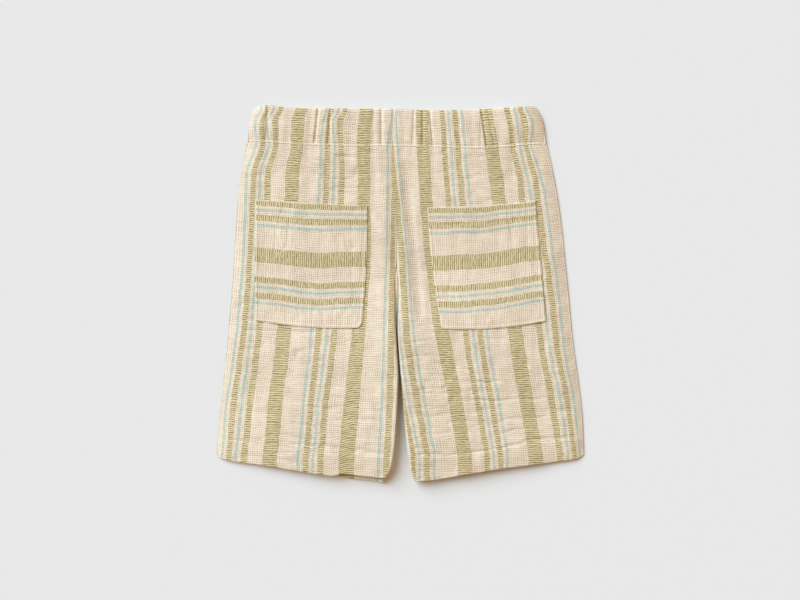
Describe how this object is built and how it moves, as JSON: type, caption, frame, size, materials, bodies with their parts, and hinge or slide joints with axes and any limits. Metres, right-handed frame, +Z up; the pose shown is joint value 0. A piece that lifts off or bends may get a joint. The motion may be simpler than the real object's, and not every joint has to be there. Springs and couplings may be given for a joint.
{
  "type": "bermuda shorts",
  "caption": "Child's elastic-waist bermuda shorts with patch pockets at the seat, wide straight legs and turned-up hems, laid flat with the seat side up.",
  "frame": {"origin": "middle of the outline, on the surface that the shorts lie on", "axes": "+Y towards the waist, +X to the right seen from above with the seat side up, +Z up from the surface"},
  "size_m": [0.3682, 0.377, 0.0138],
  "materials": {
    "striped_gauze": "matt, loosely woven cotton with ribbed green stripes and fine pale blue lines"
  },
  "bodies": {
    "root": {"back_left": "striped_gauze", "back_right": "striped_gauze", "front_left": "striped_gauze", "front_right": "striped_gauze", "waistband": "striped_gauze", "pocket_left": "striped_gauze", "pocket_right": "striped_gauze"}
  },
  "joints": []
}
